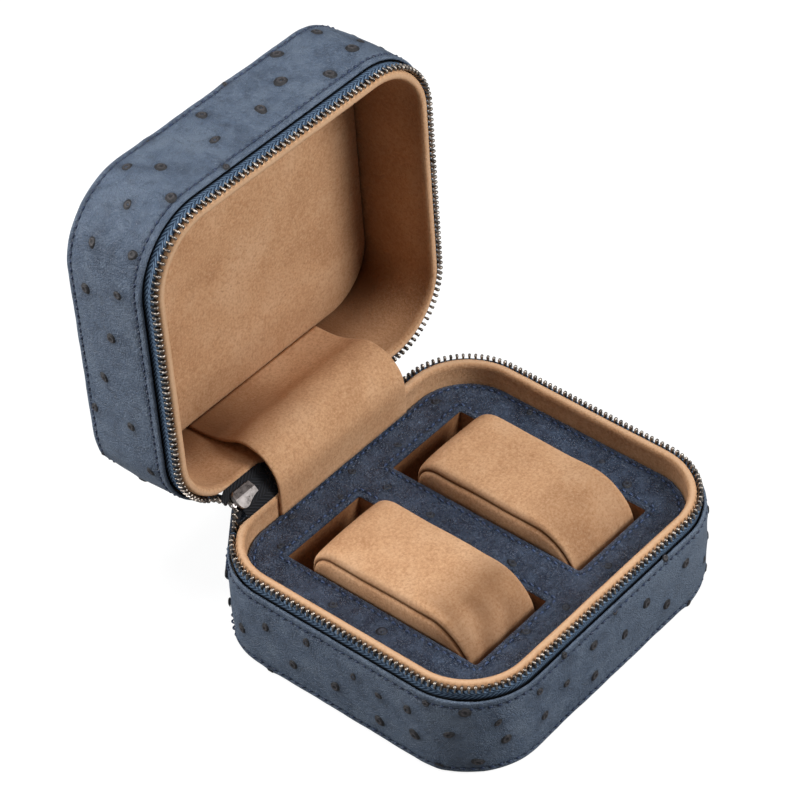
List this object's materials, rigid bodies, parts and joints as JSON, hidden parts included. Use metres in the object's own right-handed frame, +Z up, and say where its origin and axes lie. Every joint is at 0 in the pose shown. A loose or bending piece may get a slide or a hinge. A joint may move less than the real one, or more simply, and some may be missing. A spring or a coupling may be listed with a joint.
{
  "type": "watch travel case",
  "caption": "Zip-around leather travel case with a hinged lid, padded suede lining and lift-out watch pillows in recessed wells.",
  "frame": {"origin": "middle of the flat underside that the case rests on", "axes": "+Z up, the lid's hinge runs along X at the back (+Y), the front faces -Y"},
  "size_m": [0.134, 0.1627, 0.1587],
  "materials": {
    "blue_leather": "matt, raised quill grain",
    "tan_suede": "napped suede over thin padding",
    "stiff_board": "plain fibre board",
    "zip_tape": "herringbone weave",
    "dark_metal": "polished gunmetal plating",
    "wadding": "soft wadding"
  },
  "bodies": {
    "base": {"base_leather_bottom": "blue_leather", "base_leather_wall": "blue_leather", "base_leather_welt": "blue_leather", "base_board_shell": "stiff_board", "base_zip_tape": "zip_tape", "base_lining_wall": "tan_suede", "insert_leather": "blue_leather", "insert_board": "stiff_board", "insert_frame": "stiff_board", "well_liner_left": "tan_suede", "well_liner_right": "tan_suede", "base_zip_teeth": "dark_metal", "base_zip_top_stop": "dark_metal", "inner_flap": "tan_suede", "spine_leather": "blue_leather"},
    "lid": {"lid_leather_top": "blue_leather", "lid_leather_wall": "blue_leather", "lid_leather_welt": "blue_leather", "lid_board_shell": "stiff_board", "lid_zip_tape": "zip_tape", "lid_lining_wall": "tan_suede", "lid_lining_top": "tan_suede", "lid_zip_teeth": "dark_metal", "lid_zip_top_stop": "dark_metal"},
    "zip_tail": {"zip_tail_teeth": "dark_metal", "zip_tail_tape_lower": "zip_tape", "zip_tail_tape_upper": "zip_tape", "zip_bottom_stop": "dark_metal"},
    "slider": {"slider_body": "dark_metal", "slider_crown": "dark_metal"},
    "puller": {"pull_ring": "dark_metal", "pull_tab": "blue_leather", "pull_eyelet": "dark_metal"},
    "pillow_left": {"pillow_left_cover": "tan_suede", "pillow_left_core": "wadding", "pillow_left_cheeks": "tan_suede"},
    "pillow_right": {"pillow_right_cover": "tan_suede", "pillow_right_core": "wadding", "pillow_right_cheeks": "tan_suede"}
  },
  "joints": [
    {"name": "lid_hinge", "type": "hinge", "parent": "base", "child": "lid", "pos_m": [0, 0.06225, 0.037], "axis": [1, 0, 0], "range_deg": [-4, 92], "deforming": ["inner_flap", "spine_leather"]},
    {"name": "zip_tail_fold", "type": "hinge", "parent": "base", "child": "zip_tail", "pos_m": [0, 0.06225, 0.037], "axis": [1, 0, 0], "range_deg": [-2, 46]},
    {"name": "slider_travel", "type": "slide", "parent": "zip_tail", "child": "slider", "axis": [-1, 0, 0], "range_m": [0, 0.004]},
    {"name": "puller_swing", "type": "hinge", "parent": "slider", "child": "puller", "pos_m": [-0.0406, 0.06263, 0.0366], "axis": [1, 0, 0], "range_deg": [-0.8, 80]},
    {"name": "pillow_left_lift", "type": "slide", "parent": "base", "child": "pillow_left", "axis": [0, 0, 1], "range_m": [0, 0.026]},
    {"name": "pillow_right_lift", "type": "slide", "parent": "base", "child": "pillow_right", "axis": [0, 0, 1], "range_m": [0, 0.026]}
  ],
  "couplings": [
    {"joint": "zip_tail_fold", "follows": "lid_hinge", "ratio": 0.5}
  ]
}
